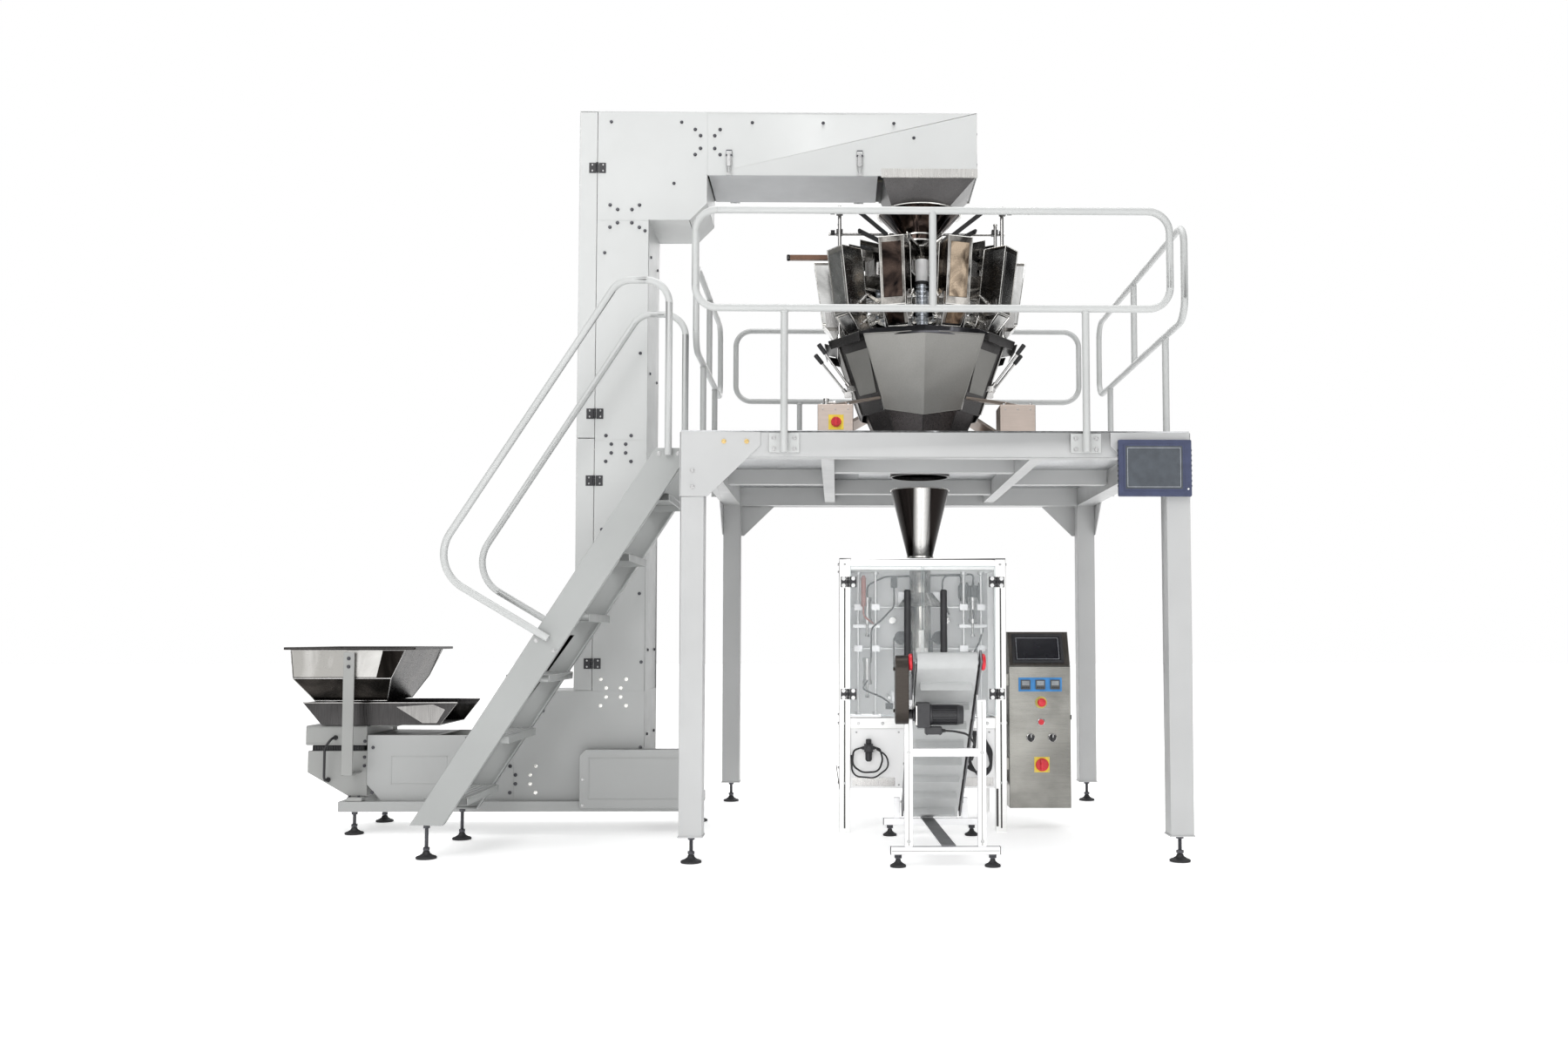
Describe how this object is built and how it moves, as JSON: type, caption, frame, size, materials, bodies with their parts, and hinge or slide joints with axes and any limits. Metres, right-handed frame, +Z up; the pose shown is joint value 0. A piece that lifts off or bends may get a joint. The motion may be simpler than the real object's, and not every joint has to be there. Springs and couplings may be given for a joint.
{
  "type": "vertical form fill seal packing line",
  "caption": "Packing line with a bucket elevator, a platform-mounted multihead weigher, a vertical form fill sealer and a take-away conveyor.",
  "frame": {"origin": "centre of the floor area that the line covers, on the floor", "axes": "+X from the infeed end to the weigher end, +Y to the back of the line, +Z up"},
  "size_m": [4.256, 2.4666, 3.63],
  "materials": {
    "aluminium": "anodised profile",
    "belt": "grey belt with flights",
    "black_plastic": "fine texture",
    "black_rubber": "matt",
    "bucket_plastic": "food grade",
    "casing_paint": "off-white powder coat",
    "chute_grey": "bead blasted",
    "clear_panel": "clear acrylic",
    "dark_stainless": "brushed, in shade",
    "deck": "tread plate",
    "film": "translucent film",
    "frame_paint": "satin grey powder coat",
    "mirror_stainless": "bright annealed",
    "rail_paint": "light grey powder coat",
    "red_plastic": "gloss",
    "screen": "touch screen",
    "stainless": "brushed",
    "steel": "ground",
    "zinc": "zinc plated"
  },
  "bodies": {
    "root": {"bagger_frame": "stainless", "bagger_panels": "stainless", "bucket_chain": "bucket_plastic", "collecting_chutes": "chute_grey", "collecting_funnel": "dark_stainless", "control_cabinet": "stainless", "conveyor_belt": "belt", "conveyor_drive": "black_plastic", "conveyor_frame": "aluminium", "deck_plate": "deck", "discharge_chute": "dark_stainless", "drive_guard": "casing_paint", "elevator_casing": "casing_paint", "elevator_gearmotor": "black_plastic", "feed_hoppers": "mirror_stainless", "feeder_troughs": "mirror_stainless", "filling_funnel": "stainless", "film_pull_belts": "black_rubber", "film_web": "film", "forming_tube": "mirror_stainless", "frame_bolts": "zinc", "infeed_hopper": "stainless", "levelling_feet": "black_rubber", "operator_panel": "screen", "platform_frame": "frame_paint", "platform_handrails": "rail_paint", "stair_handrails": "rail_paint", "stair_stringers": "frame_paint", "stair_treads": "frame_paint", "top_funnel": "stainless", "vibrator_base": "casing_paint", "vibrator_cable": "black_rubber", "weigh_hoppers": "mirror_stainless", "weigher_body": "stainless", "weigher_screen": "screen", "weigher_stand": "stainless"},
    "left_door": {"left_door": "clear_panel", "left_door_fittings": "black_plastic"},
    "right_door": {"right_door": "clear_panel", "right_door_fittings": "black_plastic"},
    "front_jaw": {"front_jaw": "aluminium"},
    "rear_jaw": {"rear_jaw": "aluminium"},
    "vertical_sealer": {"vertical_sealer": "stainless"},
    "left_pull_belt_pulley": {"left_pull_belt_pulley": "aluminium"},
    "right_pull_belt_pulley": {"right_pull_belt_pulley": "aluminium"},
    "film_roll": {"film_roll": "film"},
    "emergency_stop": {"emergency_stop": "red_plastic"},
    "push_button": {"push_button": "red_plastic"},
    "left_selector": {"left_selector": "black_plastic"},
    "right_selector": {"right_selector": "black_plastic"},
    "main_switch": {"main_switch": "red_plastic"},
    "weigher_switch": {"weigher_switch": "red_plastic"},
    "conveyor_head_pulley": {"conveyor_head_pulley": "steel"},
    "conveyor_tail_pulley": {"conveyor_tail_pulley": "steel"},
    "head_sprocket_shaft": {"head_sprocket_shaft": "steel"},
    "tail_sprocket_shaft": {"tail_sprocket_shaft": "steel"},
    "upper_side_door": {"upper_side_door": "casing_paint"},
    "lower_side_door": {"lower_side_door": "casing_paint"},
    "head_bottom_cover": {"head_bottom_cover": "casing_paint"},
    "feeder_pan": {"feeder_pan": "dark_stainless"}
  },
  "joints": [
    {"name": "left_door_hinge", "type": "hinge", "parent": "root", "child": "left_door", "pos_m": [0.614, -0.1167, 0.95], "axis": [0, 0, -1], "range_deg": [0, 110]},
    {"name": "right_door_hinge", "type": "hinge", "parent": "root", "child": "right_door", "pos_m": [1.358, -0.1167, 0.95], "axis": [0, 0, 1], "range_deg": [0, 110]},
    {"name": "front_jaw_slide", "type": "slide", "parent": "root", "child": "front_jaw", "axis": [0, 1, 0], "range_m": [0, 0.037]},
    {"name": "rear_jaw_slide", "type": "slide", "parent": "root", "child": "rear_jaw", "axis": [0, 1, 0], "range_m": [-0.037, 0]},
    {"name": "vertical_sealer_slide", "type": "slide", "parent": "root", "child": "vertical_sealer", "axis": [0, -1, 0], "range_m": [0, 0.02]},
    {"name": "left_pull_belt_spin", "type": "hinge", "parent": "root", "child": "left_pull_belt_pulley", "pos_m": [0.888, 0.0913, 0.79], "axis": [0, 1, 0], "continuous": true},
    {"name": "right_pull_belt_spin", "type": "hinge", "parent": "root", "child": "right_pull_belt_pulley", "pos_m": [1.084, 0.0913, 0.79], "axis": [0, 1, 0], "continuous": true},
    {"name": "film_roll_spin", "type": "hinge", "parent": "root", "child": "film_roll", "pos_m": [0.986, 0.4613, 0.3], "axis": [1, 0, 0], "continuous": true},
    {"name": "emergency_stop_press", "type": "slide", "parent": "root", "child": "emergency_stop", "axis": [0, 1, 0], "range_m": [0, 0.004], "stiffness_N_per_m": 800},
    {"name": "push_button_press", "type": "slide", "parent": "root", "child": "push_button", "axis": [0, 1, 0], "range_m": [0, 0.003], "stiffness_N_per_m": 500},
    {"name": "left_selector_turn", "type": "hinge", "parent": "root", "child": "left_selector", "pos_m": [1.528, -0.0687, 0.461], "axis": [0, 1, 0], "range_deg": [-45, 45]},
    {"name": "right_selector_turn", "type": "hinge", "parent": "root", "child": "right_selector", "pos_m": [1.637, -0.0687, 0.461], "axis": [0, 1, 0], "range_deg": [-45, 45]},
    {"name": "main_switch_turn", "type": "hinge", "parent": "root", "child": "main_switch", "pos_m": [1.584, -0.0687, 0.327], "axis": [0, 1, 0], "range_deg": [0, 90]},
    {"name": "weigher_switch_turn", "type": "hinge", "parent": "root", "child": "weigher_switch", "pos_m": [0.554, -0.4587, 1.985], "axis": [0, 1, 0], "range_deg": [0, 90]},
    {"name": "conveyor_head_spin", "type": "hinge", "parent": "root", "child": "conveyor_head_pulley", "pos_m": [1.016, -1.1787, 0.86], "axis": [1, 0, 0], "continuous": true},
    {"name": "conveyor_tail_spin", "type": "hinge", "parent": "root", "child": "conveyor_tail_pulley", "pos_m": [1.016, -0.2387, 0.135], "axis": [1, 0, 0], "continuous": true},
    {"name": "head_sprocket_spin", "type": "hinge", "parent": "root", "child": "head_sprocket_shaft", "pos_m": [0.996, 0.0913, 3.486], "axis": [0, 1, 0], "continuous": true},
    {"name": "tail_sprocket_spin", "type": "hinge", "parent": "root", "child": "tail_sprocket_shaft", "pos_m": [-1.634, 0.0913, 0.27], "axis": [0, 1, 0], "continuous": true},
    {"name": "upper_side_door_hinge", "type": "hinge", "parent": "root", "child": "upper_side_door", "pos_m": [-0.655, -0.1157, 2.79], "axis": [0, 0, 1], "range_deg": [0, 90]},
    {"name": "lower_side_door_hinge", "type": "hinge", "parent": "root", "child": "lower_side_door", "pos_m": [-0.655, -0.1157, 1.33], "axis": [0, 0, 1], "range_deg": [0, 90]},
    {"name": "head_cover_hinge", "type": "hinge", "parent": "root", "child": "head_bottom_cover", "pos_m": [0.336, 0.2983, 3.3], "axis": [1, 0, 0], "range_deg": [0, 20]},
    {"name": "feeder_shake", "type": "slide", "parent": "root", "child": "feeder_pan", "axis": [1, 0, 0], "range_m": [-0.003, 0.003], "stiffness_N_per_m": 20000}
  ],
  "couplings": [
    {"joint": "rear_jaw_slide", "follows": "front_jaw_slide", "ratio": -1},
    {"joint": "right_pull_belt_spin", "follows": "left_pull_belt_spin", "ratio": -1},
    {"joint": "conveyor_tail_spin", "follows": "conveyor_head_spin", "ratio": 1},
    {"joint": "tail_sprocket_spin", "follows": "head_sprocket_spin", "ratio": 1}
  ]
}
